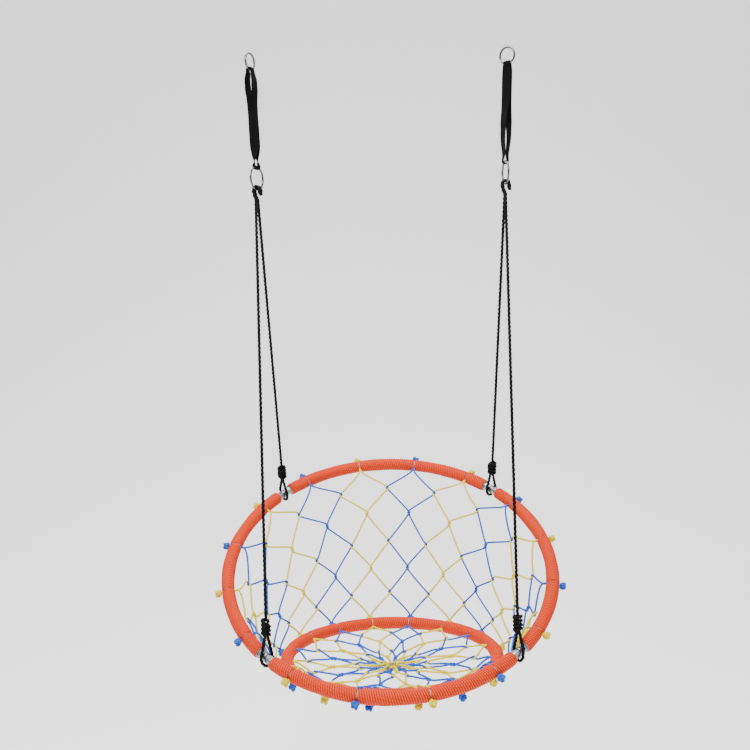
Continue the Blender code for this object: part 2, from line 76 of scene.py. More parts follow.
# which way the webbing faces on its way down, share of the way against degrees
STRAP_TURNS = {"left": ((0.0, 65.0), (0.24, 60.0), (0.44, 8.0), (0.74, -8.0), (0.9, -60.0), (1.0, -115.0)),
               "right": ((0.0, -37.0), (0.35, -42.0), (0.55, -62.0), (1.0, -82.0))}

FRAME_RADIUS, FRAME_TILT = 0.480, 30.0
FRAME_CENTRE = Vector((0.0, 0.020, -1.502))
TUBE_RADIUS, TUBE_WALL = 0.0125, 0.0015
SPIGOT_RADIUS = TUBE_RADIUS - TUBE_WALL - 0.0006
FRAME_SPIGOT, SEAT_SPIGOT = 4.5, 6.0          # degrees a spigot reaches past its joint
FRAME_BUTT, SEAT_BUTT = 0.05, 0.1             # degrees a tube's end stands back from its joint
COVER_RADIUS = 0.0190
BARE_HALF_ANGLE = 3.0
JOINTS = {"back_left": 45.0, "front_left": 135.0, "front_right": 225.0, "back_right": 315.0}
FRAME_SIDES = {"back": -45.0, "left": 45.0, "front": 135.0, "right": 225.0}
SCREW_ANGLE = 1.75
SEAT_RADIUS = 0.307
SEAT_CENTRE = FRAME_CENTRE + Vector((0.0, -0.058, -0.254))
SEAT_SIDES = {"back": -90.0, "front": 90.0}
SEAT_JOINTS = {"left": 90.0, "right": 270.0}

COLUMNS, FIRST_COLUMN = 16, 11.25
COLUMN_STEP = 360.0 / COLUMNS
CORD, STRANDS = 0.0030, 3
KNOT = 0.0115
PAIR = 0.0031                     # half the spacing of two cords lying side by side
WALL_LEVELS = ((0.135, 0.110, 0.40), (0.305, 0.190, 0.75), (0.510, 0.150, 1.00),
               (0.690, 0.125, 0.90), (0.865, 0.070, 0.45))
DIAMOND_ROOM = ((0.17, (0, 2), (1, 3)), (0.12, (2,), ()), (0.06, (), ()))
DRAWN_BACK, FRONT_DROOP, TOP_RUN = 12.0, 0.030, 0.006
FOOT_UP, FOOT_OUT, FRONT_FOOT_OUT = 0.019, 0.010, 0.004
WEB_LEVELS = ((0.243, 0.012), (0.178, 0.018), (0.104, 0.023), (0.060, 0.026))
WEB_CENTRE = {"yellow": 0.030, "blue": 0.037}

ROPE, ROPE_STEP = 0.0050, 0.0026
KNOT_STEP, KNOT_LAY = 0.0021, 0.034
NOOSE_LOW, NOOSE_HIGH = 0.052, 0.100
LOOP_CLEARANCE = 0.0022
HITCH_HALF, HITCH_REACH, HITCH_FOOT = 0.0054, 0.0098, 0.026

FRAME_PLACE = Matrix.Translation(FRAME_CENTRE) @ Matrix.Rotation(radians(FRAME_TILT), 4, "X")
SEAT_PLACE = Matrix.Translation(SEAT_CENTRE)
UP = Vector((0.0, 0.0, 1.0))
CORNERS = list(JOINTS)


def ring_direction(angle):
    return Vector((-sin(radians(angle)), cos(radians(angle)), 0.0))


def ring_tangent(angle):
    return Vector((-cos(radians(angle)), -sin(radians(angle)), 0.0))


def flat_directions(turn):
    wire = Vector((cos(radians(turn)), sin(radians(turn)), 0.0))
    return wire, Vector((-wire.y, wire.x, 0.0))


def hitch_place(side):
    sign = -1.0 if side == "left" else 1.0
    wire, normal = flat_directions(LINK_TURN[side])
    if wire.y < 0.0:
        wire, normal = -wire, -normal
    return Vector((sign * LINK_X, 0.0, LINK_RING_Z - LINK_RING_RADIUS)), wire, normal


def noose_frame(corner):
    """Tube centre at a joint, rope direction, direction across the noose, tube direction, rope's top."""
    side = "left" if corner.endswith("left") else "right"
    centre = FRAME_PLACE @ (ring_direction(JOINTS[corner]) * FRAME_RADIUS)
    tangent = FRAME_PLACE.to_3x3() @ ring_tangent(JOINTS[corner])
    foot, wire, normal = hitch_place(side)
    direction = 1.0 if corner.startswith("back") else -1.0
    end = foot + wire * HITCH_HALF * direction + normal * 0.002 - UP * HITCH_FOOT
    rope = (end - centre).normalized()
    return centre, rope, tangent.cross(rope).normalized(), tangent, end


# ---------------------------------------------------------------- camera

def make_camera():
    lens_data = bpy.data.cameras.new("studio_camera")
    lens_data.lens = 46.8
    lens_data.sensor_width = 36.0
    camera = bpy.data.objects.new("studio_camera", lens_data)
    bpy.context.scene.collection.objects.link(camera)
    turn = Matrix.Rotation(0.0037, 4, "Z") @ Matrix.Rotation(pi / 2.0 - 0.0592, 4, "X")
    camera.matrix_world = (Matrix.Translation((-0.0204, -2.8514, -0.7622)) @ turn
                           @ Matrix.Rotation(-0.0231, 4, "Z"))
    bpy.context.scene.camera = camera


make_camera()

# ---------------------------------------------------------------- paths and swept cords


def between(t, low, high, one, two):
    """The place at t on a straight run that is at one when t is low and at two when t is high."""
    return (high - t) / (high - low) * one + (t - low) / (high - low) * two


def smooth_path(points, step, closed=False):
    """Catmull-Rom curve through the points, read at an even step; extra columns are carried along."""
    p = np.array(points, float)
    n = len(p)
    if closed:
        p = np.vstack([p[-1], p, p[0], p[1]])
        spans = n
    else:
        p = np.vstack([2 * p[0] - p[1], p, 2 * p[-1] - p[-2]])
        spans = n - 1
    fine = []
    for i in range(spans):
        a, b, c, d = p[i:i + 4]
        # centripetal knots keep short spans from looping
        k = [0.0]
        for one, two in ((a, b), (b, c), (c, d)):
            k.append(k[-1] + max(np.linalg.norm(two[:3] - one[:3]), 1e-7) ** 0.5)
        for t in np.linspace(k[1], k[2], 12, endpoint=False):
            ab, bc, cd = (between(t, k[0], k[1], a, b), between(t, k[1], k[2], b, c),
                          between(t, k[2], k[3], c, d))
            fine.append(between(t, k[1], k[2], between(t, k[0], k[2], ab, bc),
                                between(t, k[1], k[3], bc, cd)))
    fine.append(p[1] if closed else p[-2])
    fine = np.array(fine)
    run = np.concatenate([[0.0], np.cumsum(np.linalg.norm(np.diff(fine[:, :3], axis=0), axis=1))])
    count = max(2, int(ceil(run[-1] / step)))
    at = np.linspace(0.0, run[-1], count + 1)
    if closed:
        at = at[:-1]
    return np.stack([np.interp(at, run, fine[:, j]) for j in range(fine.shape[1])], axis=1), run[-1]


def path_frames(path, closed):
    """Tangents and a sideways direction at each point that turns as little as possible."""
    if closed:
        ahead = np.roll(path, -1, axis=0) - np.roll(path, 1, axis=0)
    else:
        ahead = np.gradient(path, axis=0)
    ahead /= np.linalg.norm(ahead, axis=1)[:, None]
    side = np.zeros_like(path)
    start = np.array([0.0, 0.0, 1.0]) if abs(ahead[0][2]) < 0.9 else np.array([1.0, 0.0, 0.0])
    side[0] = start - ahead[0] * ahead[0].dot(start)
    side[0] /= np.linalg.norm(side[0])
    for i in range(1, len(path)):
        turned = side[i - 1] - ahead[i] * ahead[i].dot(side[i - 1])
        side[i] = turned / np.linalg.norm(turned)
    if closed:
        # spread the twist left over at the seam
        last = side[-1] - ahead[0] * ahead[0].dot(side[-1])
        last /= np.linalg.norm(last)
        slip = np.arctan2(np.cross(last, side[0]).dot(ahead[0]), last.dot(side[0]))
        turn = slip * np.arange(len(path)) / len(path)
        across = np.cross(ahead, side)
        side = side * np.cos(turn)[:, None] + across * np.sin(turn)[:, None]
    return ahead, side


class Mesh:
    """Vertices, quads, UVs in centimetres and a shade value gathered for one piece."""

    def __init__(self):
        self.points, self.faces, self.uvs, self.shades = [], [], [], []
        self.count = 0

    def grid(self, rows, uv, shade, closed):
        """Rows of points round a tube; uv and shade have one more column than there are points."""
        n, m = rows.shape[:2]
        base = self.count
        self.points.append(rows.reshape(-1, 3))
        self.shades.append(shade[:, :m].reshape(-1))
        self.count += n * m
        last = n if closed else n - 1
        i = np.arange(last)[:, None]
        j = np.arange(m)[None, :]
        i2, j2 = (i + 1) % n, (j + 1) % m
        quads = np.stack([base + i * m + j, base + i * m + j2, base + i2 * m + j2, base + i2 * m + j],
                         axis=2).reshape(-1, 4)
        self.faces.append(quads)
        ahead = np.minimum(i + 1, n - 1)
        corner = [uv[i, j], uv[i, j + 1], uv[ahead, j + 1], uv[ahead, j]]
        self.uvs.append(np.stack(corner, axis=2).reshape(-1, 2))
        if not closed:
            for row, order in ((0, -1), (n - 1, 1)):
                middle = rows[row].mean(axis=0)
                self.points.append(middle[None])
                self.shades.append(np.array([shade[row].mean()]))
                hub = self.count
                self.count += 1
                ids = base + row * m + np.arange(m)
                tris = np.stack([ids, np.roll(ids, -1), np.full(m, hub), np.full(m, hub)], axis=1)
                if order < 0:
                    tris = tris[:, [1, 0, 2, 3]]
                self.faces.append(tris)
                self.uvs.append(np.tile(uv[row, 0], (m * 4, 1)))

    def cord(self, path, radius, lay=0.039, sides=12, groove=0.70, closed=False, phase=0.0):
        """A cord of twisted strands along a path; radius is one number or one per point."""
        path = np.asarray(path, float)[:, :3]
        ahead, side = path_frames(path, closed)
        across = np.cross(ahead, side)
        hop = np.linalg.norm(np.diff(path, axis=0), axis=1)
        run = np.concatenate([[0.0], np.cumsum(hop)])
        if closed:
            total = run[-1] + np.linalg.norm(path[0] - path[-1])
            lay = total / max(1, round(total / lay))
        phi = np.arange(sides + 1) * 2 * pi / sides
        local = (phi * STRANDS / (2 * pi)) % 1.0 * 2 * pi / STRANDS - pi / STRANDS
        far = 1.0 / (1.0 + 1.0 / sin(pi / STRANDS))
        away = 1.0 - far
        shape = away * np.cos(local) + np.sqrt(np.maximum(far ** 2 - (away * np.sin(local)) ** 2, 0.0))
        shape = np.maximum(shape, groove)
        twist = 2 * pi * run / lay + phase
        angle = phi[None, :] + twist[:, None]
        reach = (np.broadcast_to(radius, len(path))[:, None] * shape[None, :])[..., None]
        rows = (path[:, None, :] + reach * (np.cos(angle)[..., None] * side[:, None, :]
                                            + np.sin(angle)[..., None] * across[:, None, :]))
        uv = np.stack([np.broadcast_to(run[:, None] * 100.0, angle.shape),
                       np.broadcast_to(phi[None, :] / (2 * pi) * STRANDS, angle.shape)], axis=2)
        # strand height, from which the cord materials paint shade into the grooves between the strands
        shade = np.broadcast_to(((shape - groove) / (1.0 - groove + 1e-6))[None, :], angle.shape)
        self.grid(rows[:, :-1], uv, shade, closed)

    def build(self, name, material):
        points = np.vstack(self.points)
        faces = np.vstack(self.faces)
        uvs = np.vstack(self.uvs)
        triangle = faces[:, 2] == faces[:, 3]
        sizes = np.where(triangle, 3, 4)
        keep = np.ones(faces.shape, bool)
        keep[triangle, 3] = False
        mesh = bpy.data.meshes.new(name)
        mesh.vertices.add(len(points))
        mesh.vertices.foreach_set("co", points.astype(np.float32).ravel())
        loops = faces[keep]
        mesh.loops.add(len(loops))
        mesh.loops.foreach_set("vertex_index", loops.astype(np.int32))
        mesh.polygons.add(len(faces))
        starts = np.concatenate([[0], np.cumsum(sizes)[:-1]])
        mesh.polygons.foreach_set("loop_start", starts.astype(np.int32))
        layer = mesh.uv_layers.new(name="UVMap")
        layer.data.foreach_set("uv", uvs.reshape(len(faces), 4, 2)[keep].astype(np.float32).ravel())
        relief = mesh.attributes.new("relief", "FLOAT", "POINT")
        relief.data.foreach_set("value", np.concatenate(self.shades).astype(np.float32))
        mesh.update(calc_edges=True)
        mesh.validate()
        mesh.shade_smooth()
        mesh.materials.append(material)
        item = bpy.data.objects.new(name, mesh)
        bpy.context.scene.collection.objects.link(item)
        return item


# ---------------------------------------------------------------- materials


def socket(group, name, kind, way, value=None):
    made = group.interface.new_socket(name=name, in_out=way, socket_type=kind)
    if value is not None:
        made.default_value = value


def dial(node, **values):
    """Set a node's plain inputs."""
    for key, value in values.items():
        node.inputs[key.replace("_", " ")].default_value = value
    return node


def maths(tree, operation, *values):
    """The output of a maths node fed with the values."""
    node = tree.nodes.new("ShaderNodeMath")
    node.operation = operation
    for value, end in zip(values, node.inputs):
        tree.links.new(value, end)
    return node.outputs[0]


def make_fibre_group():
    """Fine yarn lines along a cord or thread, from UVs in centimetres: a tint and a height."""
    group = bpy.data.node_groups.new("fine_fibres", "ShaderNodeTree")
    socket(group, "Along", "NodeSocketFloat", "INPUT", 1.0)
    socket(group, "Across", "NodeSocketFloat", "INPUT", 12.0)
    socket(group, "Slant", "NodeSocketFloat", "INPUT", 0.0)
    socket(group, "Tint", "NodeSocketFloat", "OUTPUT")
    socket(group, "Height", "NodeSocketFloat", "OUTPUT")
    nodes, links = group.nodes, group.links
    entry, result = nodes.new("NodeGroupInput"), nodes.new("NodeGroupOutput")
    uv = nodes.new("ShaderNodeUVMap")
    uv.uv_map = "UVMap"
    split = nodes.new("ShaderNodeSeparateXYZ")
    links.new(uv.outputs[0], split.inputs[0])
    slanted = maths(group, "MULTIPLY_ADD", split.outputs["X"], entry.outputs["Slant"], split.outputs["Y"])
    place = nodes.new("ShaderNodeCombineXYZ")
    links.new(maths(group, "MULTIPLY", split.outputs["X"], entry.outputs["Along"]), place.inputs["X"])
    links.new(maths(group, "MULTIPLY", slanted, entry.outputs["Across"]), place.inputs["Y"])
    noise = dial(nodes.new("ShaderNodeTexNoise"), Scale=1.0, Detail=3.0, Roughness=0.6)
    links.new(place.outputs[0], noise.inputs["Vector"])
    spread = dial(nodes.new("ShaderNodeMapRange"), From_Min=0.3, From_Max=0.7)
    links.new(noise.outputs[0], spread.inputs["Value"])
    links.new(spread.outputs[0], result.inputs["Tint"])
    links.new(noise.outputs[0], result.inputs["Height"])
    return group


def make_wear_group():
    """Broad soft variation and fine speckle on Object coordinates."""
    group = bpy.data.node_groups.new("handling_marks", "ShaderNodeTree")
    socket(group, "Broad Scale", "NodeSocketFloat", "INPUT", 12.0)
    socket(group, "Fine Scale", "NodeSocketFloat", "INPUT", 400.0)
    socket(group, "Broad", "NodeSocketFloat", "OUTPUT")
    socket(group, "Fine", "NodeSocketFloat", "OUTPUT")
    nodes, links = group.nodes, group.links
    entry, result = nodes.new("NodeGroupInput"), nodes.new("NodeGroupOutput")
    place = nodes.new("ShaderNodeTexCoord")
    for name in ("Broad", "Fine"):
        noise = dial(nodes.new("ShaderNodeTexNoise"), Detail=4.0)
        links.new(place.outputs["Object"], noise.inputs["Vector"])
        links.new(entry.outputs[name + " Scale"], noise.inputs["Scale"])
        links.new(noise.outputs[0], result.inputs[name])
    return group


FIBRES, WEAR = make_fibre_group(), make_wear_group()


class Finish:
    """A material under construction round its Principled shader."""

    def __init__(self, name, roughness, metallic=0.0, **plain):
        self.material = bpy.data.materials.new(name)
        self.material.use_nodes = True
        self.nodes, self.links = self.material.node_tree.nodes, self.material.node_tree.links
        self.shader = dial(self.nodes["Principled BSDF"], Roughness=roughness, Metallic=metallic, **plain)

    def group(self, tree, **values):
        node = self.nodes.new("ShaderNodeGroup")
        node.node_tree = tree
        return dial(node, **values)

    def attribute(self, name):
        node = self.nodes.new("ShaderNodeAttribute")
        node.attribute_name = name
        return node.outputs["Fac"]

    def mix(self, factor, one, two):
        node = self.nodes.new("ShaderNodeMix")
        node.data_type = "RGBA"
        for key, value in (("Factor", factor), ("A", one), ("B", two)):
            target = [s for s in node.inputs if s.name == key and s.enabled][0]
            if isinstance(value, bpy.types.NodeSocket):
                self.links.new(value, target)
            elif isinstance(value, tuple):
                target.default_value = (*value, 1.0)
            else:
                target.default_value = value
        return [s for s in node.outputs if s.enabled][0]

    def ranged(self, value, low, high, start=0.0, stop=1.0):
        node = dial(self.nodes.new("ShaderNodeMapRange"), From_Min=start, From_Max=stop, To_Min=low,
                    To_Max=high)
        self.links.new(value, node.inputs["Value"])
        return node.outputs[0]

    def bump(self, height, distance):
        node = dial(self.nodes.new("ShaderNodeBump"), Distance=distance, Strength=1.0)
        self.links.new(height, node.inputs["Height"])
        return node.outputs[0]

    def feed(self, **ends):
        for key, value in ends.items():
            self.links.new(value, self.shader.inputs[key.replace("_", " ")])
        return self.material


def cord_finish(name, crest, groove_shade_and_wear, pale, roughness, bump, gloss):
    """Twisted cord: darker between its strands as painted shade, fine yarns over them."""
    made = Finish(name, roughness, Specular_IOR_Level=gloss)
    fibres = made.group(FIBRES, Along=1.2, Across=5.0, Slant=-0.35)
    marks = made.group(WEAR, Broad_Scale=9.0)
    # painted shade: the grooves between the strands take the darker colour; the broad random marks below
    # darken towards that colour too
    body = made.mix(made.attribute("relief"), groove_shade_and_wear, crest)
    streaked = made.mix(made.ranged(fibres.outputs["Tint"], 0.0, 0.35), body, pale)
    worn = made.mix(made.ranged(marks.outputs["Broad"], 0.0, 0.22, 0.4, 0.75), streaked, groove_shade_and_wear)
    return made.feed(Base_Color=worn,
                     Roughness=made.ranged(fibres.outputs["Tint"], roughness - 0.08, roughness + 0.12),
                     Normal=made.bump(fibres.outputs["Height"], bump))


def sleeve_finish():
    """Braided sleeving over foam: rib relief from the mesh, painted shade between the ribs, yarn lines on
    each rib, pale foam in the gaps."""
    made = Finish("orange_sleeve_braid", 0.62, Specular_IOR_Level=0.18)
    yarns = made.group(FIBRES, Along=3.0, Across=26.0, Slant=0.06)
    marks = made.group(WEAR, Broad_Scale=7.0)
    rib_shade_mask = made.ranged(made.attribute("relief"), 0.0, 1.0, 0.25, 0.95)
    # painted shade: the gaps between the ribs take the dark red, the rib crests the orange
    ribs = made.mix(rib_shade_mask, (0.13, 0.001, 0.0), (0.80, 0.044, 0.001))
    lit = made.mix(made.ranged(yarns.outputs["Tint"], 0.0, 0.25), ribs, (0.92, 0.074, 0.005))
    faded = made.mix(made.ranged(marks.outputs["Broad"], 0.0, 0.25, 0.45, 0.8), lit,
                     (0.54, 0.018, 0.001))
    foam = made.mix(made.attribute("foam"), faded, (0.52, 0.46, 0.40))
    return made.feed(Base_Color=foam, Normal=made.bump(yarns.outputs["Height"], 0.0006))


def steel_finish(name, tint, low, high, bump):
    made = Finish(name, low, 1.0)
    marks = made.group(WEAR, Broad_Scale=38.0, Fine_Scale=900.0)
    colour = made.mix(marks.outputs["Broad"], tuple(c * 0.82 for c in tint), tint)
    return made.feed(Base_Color=colour, Roughness=made.ranged(marks.outputs["Broad"], low, high, 0.3, 0.7),
                     Normal=made.bump(marks.outputs["Fine"], bump))


def webbing_finish():
    """Flat woven webbing: rows of small chevrons across, from UVs in centimetres."""
    made = Finish("black_webbing_weave", 0.82, Specular_IOR_Level=0.06)
    uv = made.nodes.new("ShaderNodeUVMap")
    uv.uv_map = "UVMap"
    heights = []
    for turn in (0.9, -0.9):
        spin = dial(made.nodes.new("ShaderNodeMapping"), Rotation=(0.0, 0.0, turn))
        made.links.new(uv.outputs[0], spin.inputs["Vector"])
        wave = dial(made.nodes.new("ShaderNodeTexWave"), Scale=3.4, Distortion=0.4)
        made.links.new(spin.outputs[0], wave.inputs["Vector"])
        heights.append(wave.outputs[1])
    weave = maths(made.material.node_tree, "MAXIMUM", *heights)
    marks = made.group(WEAR, Broad_Scale=20.0)
    colour = made.mix(weave, (0.0004, 0.0004, 0.0005), (0.0040, 0.0040, 0.0044))
    dusty = made.mix(made.ranged(marks.outputs["Broad"], 0.0, 0.2, 0.45, 0.8), colour,
                     (0.0085, 0.0085, 0.0095))
    return made.feed(Base_Color=dusty, Normal=made.bump(weave, 0.0005))


YELLOW = cord_finish("yellow_net_cord", (0.84, 0.72, 0.0), (0.46, 0.31, 0.0), (0.98, 0.90, 0.002),
                     0.5, 0.0004, 0.2)
BLUE = cord_finish("blue_net_cord", (0.010, 0.095, 0.62), (0.002, 0.016, 0.22), (0.04, 0.24, 0.90),
                   0.5, 0.0004, 0.2)
BLACK = cord_finish("black_suspension_rope", (0.0022, 0.0022, 0.0024), (0.0002, 0.0002, 0.0002),
                    (0.009, 0.009, 0.010), 0.45, 0.0005, 0.08)
SLEEVE = sleeve_finish()
TUBE_STEEL = steel_finish("bright_tube_steel", (0.36, 0.37, 0.385), 0.20, 0.38, 0.00008)
RING_STEEL = steel_finish("plated_ring_steel", (0.13, 0.13, 0.128), 0.14, 0.28, 0.00005)
SCREW_STEEL = steel_finish("plated_screw_steel", (0.25, 0.245, 0.24), 0.25, 0.42, 0.00005)
WEBBING = webbing_finish()

# ---------------------------------------------------------------- suspension ropes


def as_tuples(points):
    return [tuple(point) for point in points]


def hand_over(piece, body, node):
    """Say which body a piece moves with, and hide the node that it stands for."""
    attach(piece, body)
    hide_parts(node)


def make_rope(corner):
    """Taut twisted rope from the hitch down into the barrel knot, with the noose that ends it."""
    centre, rope, across, tangent, end = noose_frame(corner)
    body = "ropes_left" if corner.endswith("left") else "ropes_right"
    noose = make_noose(corner, centre, rope, across, tangent)
    top, foot = end, centre + rope * (NOOSE_HIGH - 0.004)
    path, length = smooth_path(as_tuples([top.lerp(foot, i / 24.0) for i in range(25)]), ROPE_STEP)
    made = Mesh()
    made.cord(path, ROPE, phase=1.3 * CORNERS.index(corner), sides=15)
    piece = made.build("suspension_rope_" + corner, BLACK)
    hand_over(piece, body, "rope_" + corner)
    hand_over(noose, body, "noose_" + corner)


def make_noose(corner, centre, rope, across, tangent):
    """Loop round the bare tube, its two legs, and the barrel of wraps above them, as one rope."""
    reach_across = TUBE_RADIUS + ROPE + LOOP_CLEARANCE
    stretch = abs(across.cross(tangent).dot(rope))
    reach_down = TUBE_RADIUS / stretch + ROPE + LOOP_CLEARANCE
    slim, wrap, coil = 0.0030, 0.0052, 0.0104
    legs = [(0.0060, NOOSE_LOW - 0.001, 0.0, 0.0046), (0.0104, 0.036, 0.0, ROPE),
            (0.0155, 0.020, 0.0, ROPE), (0.0188, 0.009, 0.0, ROPE)]
    points = [(0.0030, NOOSE_HIGH - 0.006, 0.0, slim), (0.0030, NOOSE_LOW + 0.012, 0.0, slim)] + legs
    for step in range(9):
        around = pi * step / 8.0
        points.append((reach_across * cos(around), -reach_down * sin(around),
                       0.0030 * (step - 4) / 4.0, ROPE))
    points += [(-x, y, 0.0025, r) for x, y, _, r in reversed(legs)]
    points += [(-0.0030, NOOSE_LOW + 0.012, 0.0, slim), (-0.0030, NOOSE_HIGH - 0.014, 0.0, slim),
               (-0.0062, NOOSE_HIGH - 0.006, 0.002, 0.0040)]
    turns, per_turn = 3.6, 16
    high, low = NOOSE_HIGH - wrap, NOOSE_LOW + wrap - 0.001
    count = int(turns * per_turn)
    for step in range(count + 1):
        share = step / count
        around = pi + 2 * pi * turns * share
        # each wrap rides level for most of its turn, then steps down to the next
        level = turns * share
        eased = int(level) + min(1.0, max(0.0, (level % 1.0 - 0.5) / 0.4))
        points.append((coil * cos(around), high + (low - high) * min(1.0, eased / turns),
                       coil * sin(around), wrap))
    world = [tuple(centre + across * x + rope * y + tangent * z) + (r,) for x, y, z, r in points]
    path, _ = smooth_path(world, KNOT_STEP)
    made = Mesh()
    made.cord(path, path[:, 3], sides=12, lay=KNOT_LAY)
    return made.build("barrel_noose_" + corner, BLACK)


def make_hitch(side):
    """Cow hitch of the doubled rope on the link ring."""
    foot, wire, normal = hitch_place(side)
    half_turn = [(HITCH_HALF, 0.002, -HITCH_FOOT - 0.001), (HITCH_HALF, 0.0062, -0.018),
                 (HITCH_HALF, 0.0088, -0.009)]
    for step in range(5):
        around = pi * step / 4
        half_turn.append((HITCH_HALF, HITCH_REACH * cos(around), HITCH_REACH * sin(around)))
    half_turn += [(HITCH_HALF, -0.0104, -0.007), (0.0030, -0.0116, -0.0138)]
    other = [(-along, across, up) for along, across, up in reversed(half_turn)]
    path, _ = smooth_path([tuple(foot + wire * along + normal * across + UP * up)
                           for along, across, up in half_turn + other], KNOT_STEP)
    made = Mesh()
    made.cord(path, ROPE * 1.02, sides=12, lay=KNOT_LAY)
    piece = made.build("rope_hitch_" + side, BLACK)
    hand_over(piece, "ropes_" + side, "hitch_" + side)
    return piece


def make_ropes():
    hitches = {"ropes_" + side: make_hitch(side) for side in ("left", "right")}
    for corner in CORNERS:
        make_rope(corner)


make_ropes()

# ---------------------------------------------------------------- webbing loops


def strap_stations(side):
    """Middle line, width direction and width of the webbing loop, once round."""
    sign = -1.0 if side == "left" else 1.0
    top = Vector((sign * HANG_X, 0.0, RING_WIRE - 2 * HANG_RING_RADIUS))
    bottom = Vector((sign * LINK_X, 0.0, LINK_RING_Z + LINK_RING_RADIUS))
    leg_steps, fold_steps = 24, 8

    def leg(share):
        wire, normal = flat_directions(float(np.interp(share, *zip(*STRAP_TURNS[side]))))
        near_fold = max(0.0, 1.0 - min(share, 1.0 - share) / 0.14) ** 2
        near_open = max(0.0, 1.0 - abs(share - STRAP_OPEN_AT[side]) / STRAP_OPEN_REACH[side]) ** 2
        gap = STRAP_LEG_GAP + (STRAP_OPEN_GAP[side] - STRAP_LEG_GAP) * near_open * (3 - 2 * near_open)
        gap = max(gap, STRAP_LEG_GAP + (STRAP_FOLD_RADIUS - STRAP_LEG_GAP) * near_fold)
        if share in (0.0, 1.0):
            gap = STRAP_FOLD_RADIUS
        return top.lerp(bottom, share), wire, normal * gap, (
            STRAP_WIDTH - (STRAP_WIDTH - STRAP_FOLD_WIDTH) * near_fold)

    stations = []
    for start, sign_of_fold in ((0.0, 1.0), (1.0, -1.0)):
        middle, wire, normal, width = leg(start)
        for step in range(fold_steps + 1):
            around = pi * step / fold_steps
            place = (middle + normal * -cos(around) * sign_of_fold
                     + UP * STRAP_FOLD_RADIUS * sin(around) * sign_of_fold)
            stations.append((*place, *wire, width))
        for step in range(1, leg_steps):
            share = step / leg_steps if start == 0.0 else 1.0 - step / leg_steps
            middle, wire, normal, width = leg(share)
            stations.append((*(middle + normal * sign_of_fold), *wire, width))
    return stations


def make_strap(side):
    """Woven webbing loop: a ribbed flat band with thinned selvedges."""
    path, _ = smooth_path(strap_stations(side), STRAP_STEP, closed=True)
    place, wire, width = path[:, :3], path[:, 3:6], path[:, 6]
    wire /= np.linalg.norm(wire, axis=1)[:, None]
    ahead = np.roll(place, -1, axis=0) - np.roll(place, 1, axis=0)
    face = np.cross(wire, ahead)
    face /= np.linalg.norm(face, axis=1)[:, None]
    across = 14
    spots = np.linspace(-0.5, 0.5, across + 1)
    # rows of the weave stand up a little, and the selvedges are thinner than the middle
    ribs = 0.00022 * np.cos(spots * 2 * pi * 6.0)
    thick = STRAP_THICKNESS / 2.0 * np.minimum(1.0, (1.0 - np.abs(2 * spots) ** 8) * 0.55 + 0.45)
    ring = [(s, t + r) for s, t, r in zip(spots, thick, ribs)]
    ring += [(s, -t - r) for s, t, r in reversed(list(zip(spots, thick, ribs)))]
    ring = np.array(ring + ring[:1])
    rows = (place[:, None] + wire[:, None] * ring[:, 0][None, :, None] * width[:, None, None]
            + face[:, None] * ring[:, 1][None, :, None])
    run = np.arange(len(place)) * STRAP_STEP * 100.0
    around = np.concatenate([[0.0], np.cumsum(np.hypot(np.diff(ring[:, 0]) * STRAP_WIDTH,
                                                       np.diff(ring[:, 1])))]) * 100.0
    uv = np.stack(np.broadcast_arrays(run[:, None], around[None, :]), axis=2)
    made = Mesh()
    made.grid(rows[:, :-1], uv, np.ones((len(place), len(ring))), True)
    piece = made.build("webbing_loop_" + side, WEBBING)
    repair(piece)
    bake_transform(piece)
    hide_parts("strap_" + side)


def repair(item):
    """Faces outwards on a closed piece."""
    bm = bmesh.new()
    bm.from_mesh(item.data)
    bmesh.ops.recalc_face_normals(bm, faces=bm.faces)
    bm.to_mesh(item.data)
    bm.free()


for side in ("left", "right"):
    make_strap(side)

# ---------------------------------------------------------------- steel pieces


def fresh():
    """Nothing selected, object mode."""
    if bpy.context.object and bpy.context.object.mode != "OBJECT":
        bpy.ops.object.mode_set(mode="OBJECT")
    bpy.ops.object.select_all(action="DESELECT")


def settle(item, name, material, place):
    """Name a modelled piece, move its mesh into place and leave its object at the origin."""
    item.name = item.data.name = name
    item.data.transform(place @ item.matrix_world)
    item.matrix_world = Matrix.Identity(4)
    item.data.materials.clear()
    item.data.materials.append(material)


def apply_all(item):
    fresh()
    item.select_set(True)
    bpy.context.view_layer.objects.active = item
    for modifier in list(item.modifiers):
        bpy.ops.object.modifier_apply(modifier=modifier.name)


def make_ring(name, centre, radius, turn, body):
    """Welded steel ring, with the bead of its weld."""
    fresh()
    bpy.ops.mesh.primitive_torus_add(major_radius=radius, minor_radius=RING_WIRE, major_segments=96,
                                     minor_segments=24)
    item = bpy.context.object
    for vertex in item.data.vertices:
        along = np.arctan2(vertex.co.y, vertex.co.x)
        bead = np.exp(-(along * radius / 0.0013) ** 2) * 0.10
        middle = Vector((cos(along), sin(along), 0.0)) * radius
        vertex.co = middle + (vertex.co - middle) * (1.0 + bead)
    item.data.shade_smooth()
    _, normal = flat_directions(turn)
    place = Matrix.Translation(centre) @ normal.to_track_quat("Z", "Y").to_matrix().to_4x4()
    settle(item, name + "_welded", RING_STEEL, place)
    hand_over(item, body, name)


